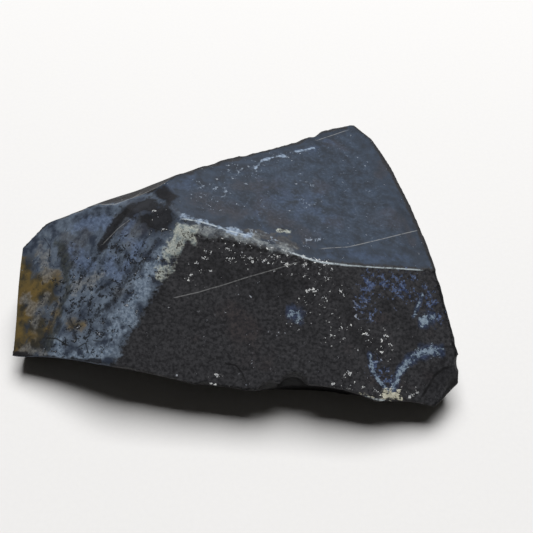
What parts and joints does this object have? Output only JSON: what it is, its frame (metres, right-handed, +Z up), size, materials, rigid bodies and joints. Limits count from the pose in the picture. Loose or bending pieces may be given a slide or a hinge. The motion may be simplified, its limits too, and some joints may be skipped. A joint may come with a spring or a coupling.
{
  "type": "black silica stone",
  "caption": "Chunk of black silica flint with a flat crown, steep dark faces and a pale weathered end, lying on its flat underside.",
  "frame": {"origin": "middle of the stone's bounding box, on the surface that it rests on", "axes": "+X along the stone's length towards the broad end, +Y towards the blunt broken back, away from the two steep dark faces, +Z up"},
  "size_m": [0.0604, 0.049, 0.0182],
  "materials": {
    "black_silica": "satin"
  },
  "bodies": {
    "root": {"stone": "black_silica"}
  },
  "joints": []
}
